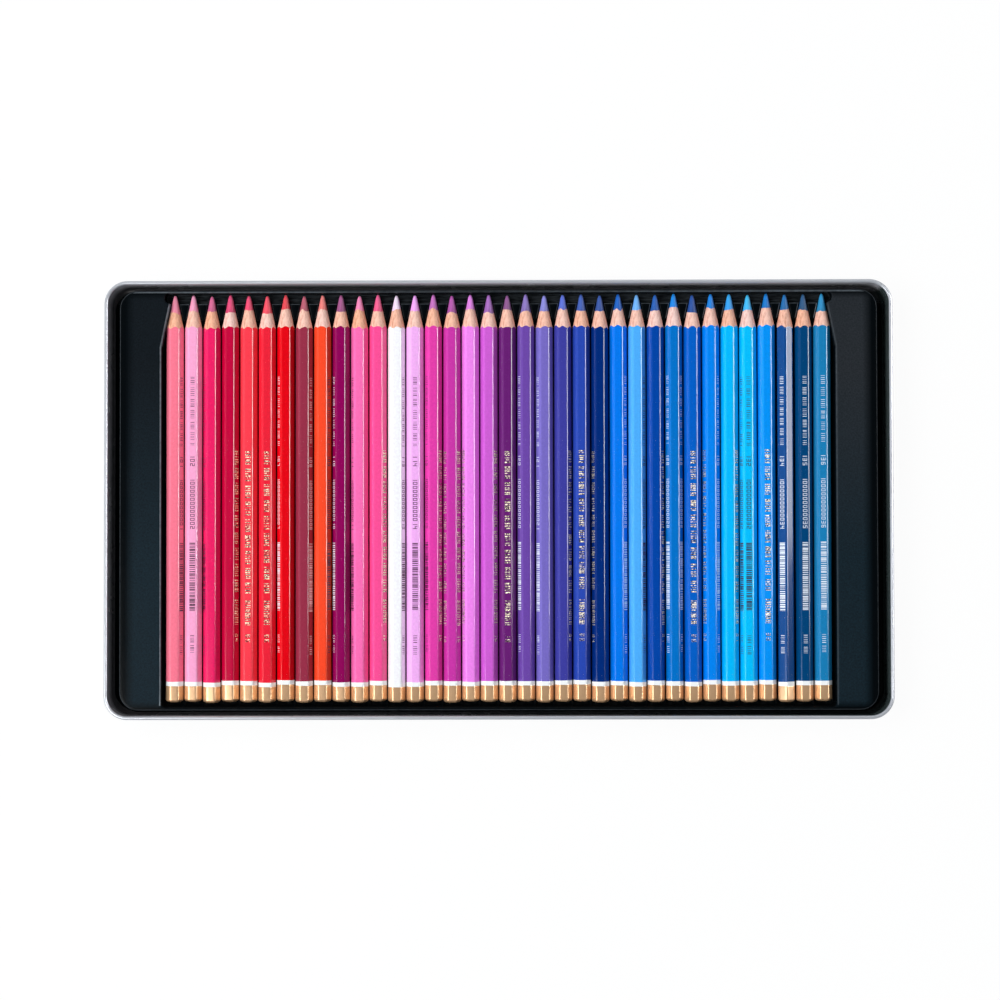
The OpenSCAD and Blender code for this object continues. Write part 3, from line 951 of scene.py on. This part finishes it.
def make_floor():
    """A white sheet under the tin."""
    mesh = bpy.data.meshes.new("floor")
    half = FLOOR_SIZE / 2
    mesh.from_pydata([(-half, -half, 0), (half, -half, 0), (half, half, 0), (-half, half, 0)],
                     [], [(0, 1, 2, 3)])
    floor = bpy.data.objects.new("floor", mesh)
    bpy.context.scene.collection.objects.link(floor)
    paper = bpy.data.materials.new("floor")
    n = Nodes(paper)
    shader = n.tree.nodes["Principled BSDF"]
    for name, value in FLOOR_LOOK.items():
        n.join(value, shader.inputs[name])
    mixed = white_where_seen(n, shader.outputs[0])
    n.join(mixed, n.tree.nodes["Material Output"].inputs["Surface"])
    mesh.materials.append(paper)


# The sky is brighter on the left, and dark straight above, most of all in what shines
SKY_COLOUR = (0.9, 0.96, 1.0, 1)
SKY_LEFT, SKY_RIGHT, SKY_TURN = 1.2, 0.4, 0.8
SKY_LIGHT, SKY_GLOSS = 1.0, 0.14
SKY_ABOVE, SKY_ABOVE_GLOSS = 0.5, 0.03
DARK_ABOVE, BRIGHT_BELOW = 0.95, 0.66


def make_world():
    """The sky round the tin."""
    world = bpy.data.worlds.new("studio")
    bpy.context.scene.world = world
    n = Nodes(world)
    way = n.parts(n.add("ShaderNodeTexCoord").outputs["Generated"])
    glossy = n.add("ShaderNodeLightPath").outputs["Is Glossy Ray"]
    above = n.ramp(glossy, 0, 1, SKY_ABOVE, SKY_ABOVE_GLOSS)
    strength = n.ramp(way["Z"], BRIGHT_BELOW, DARK_ABOVE, SKY_LIGHT, above,
                      interpolation_type="SMOOTHSTEP")
    strength = n.times(strength, n.ramp(way["X"], -SKY_TURN, SKY_TURN, SKY_LEFT, SKY_RIGHT))
    strength = n.times(strength, n.ramp(glossy, 0, 1, 1.0, SKY_GLOSS))
    air = n.tree.nodes["Background"].inputs
    n.join(SKY_COLOUR, air["Color"])
    n.join(strength, air["Strength"])


# Name, place, point faced, size and radiance of each lamp. The last value is True for a lamp that
# is seen only in what shines, and False for one that lights only what is dull.
MIDDLE = (0, 0.05, 0.01)
LAMPS = (
    ("key_left", (-1.01, 0.18, 1.23), (0, 0, 0), (1.2, 1.0), 4.45, False),
    ("strip_right", (0.96, 0.165, 0.715), MIDDLE, (0.5, 0.4), 19.0, True),
    ("low_right", (0.96, 0.2, 0.36), MIDDLE, (0.44, 0.2), 8.0, True),
    ("panel_left", (-0.69, -0.41, 1.0), (-0.68, -0.41, 0), (0.5, 0.64), 14.0, True),
    ("strip_back", (0, 1.1, 0.75), MIDDLE, (1.4, 0.4), 2.0, True),
)


def area_light(name, at, aim, size, radiance, shines):
    """A soft box of a given radiance that faces a point. Its size counts across, then upwards."""
    lamp = bpy.data.lights.new(name, "AREA")
    lamp.shape = "RECTANGLE"
    lamp.size, lamp.size_y = size
    lamp.energy = radiance * math.pi * size[0] * size[1]
    piece = bpy.data.objects.new(name, lamp)
    bpy.context.scene.collection.objects.link(piece)
    away = (Vector(at) - Vector(aim)).normalized()
    across = Vector((-away.y, away.x, 0)).normalized()
    piece.matrix_world = Matrix.Translation(Vector(at)) @ Matrix(
        (across, away.cross(across), away)).transposed().to_4x4()
    lamp.diffuse_factor, lamp.specular_factor = float(not shines), float(shines)
    piece.visible_diffuse, piece.visible_glossy = not shines, shines
    piece.visible_camera = False


CAMERA_AT = (9.749, -24.043, 994.2)
CAMERA_AIM = (0.749, -0.179, 10.0)
CAMERA_ROLL = -0.103
LENS, SENSOR = 82.994, 36.0
CLIP_NEAR, CLIP_FAR = 0.05, 20.0


def make_camera():
    """The camera, fitted to the photo: about a metre above the tin, looking down."""
    camera = bpy.data.objects.new("camera", bpy.data.cameras.new("camera"))
    bpy.context.scene.collection.objects.link(camera)
    at, aim = Vector(CAMERA_AT), Vector(CAMERA_AIM)
    ahead = (aim - at).normalized()
    right = ahead.cross(Vector((0, 1, 0))).normalized()
    up = right.cross(ahead)
    roll = math.radians(CAMERA_ROLL)
    across = right * math.cos(roll) + up * math.sin(roll)
    above = up * math.cos(roll) - right * math.sin(roll)
    turned = Matrix((across, above, -ahead)).transposed().to_4x4()
    camera.matrix_world = Matrix.Translation(at * MM) @ turned
    camera.data.lens = LENS
    camera.data.sensor_width = SENSOR
    camera.data.clip_start, camera.data.clip_end = CLIP_NEAR, CLIP_FAR
    bpy.context.scene.camera = camera


make_tin()
make_insert()
for index in range(PENCIL_COUNT):
    make_pencil(index)
make_floor()
make_world()
for lamp_row in LAMPS:
    area_light(*lamp_row)
make_camera()
bpy.context.scene.view_settings.view_transform = "Standard"
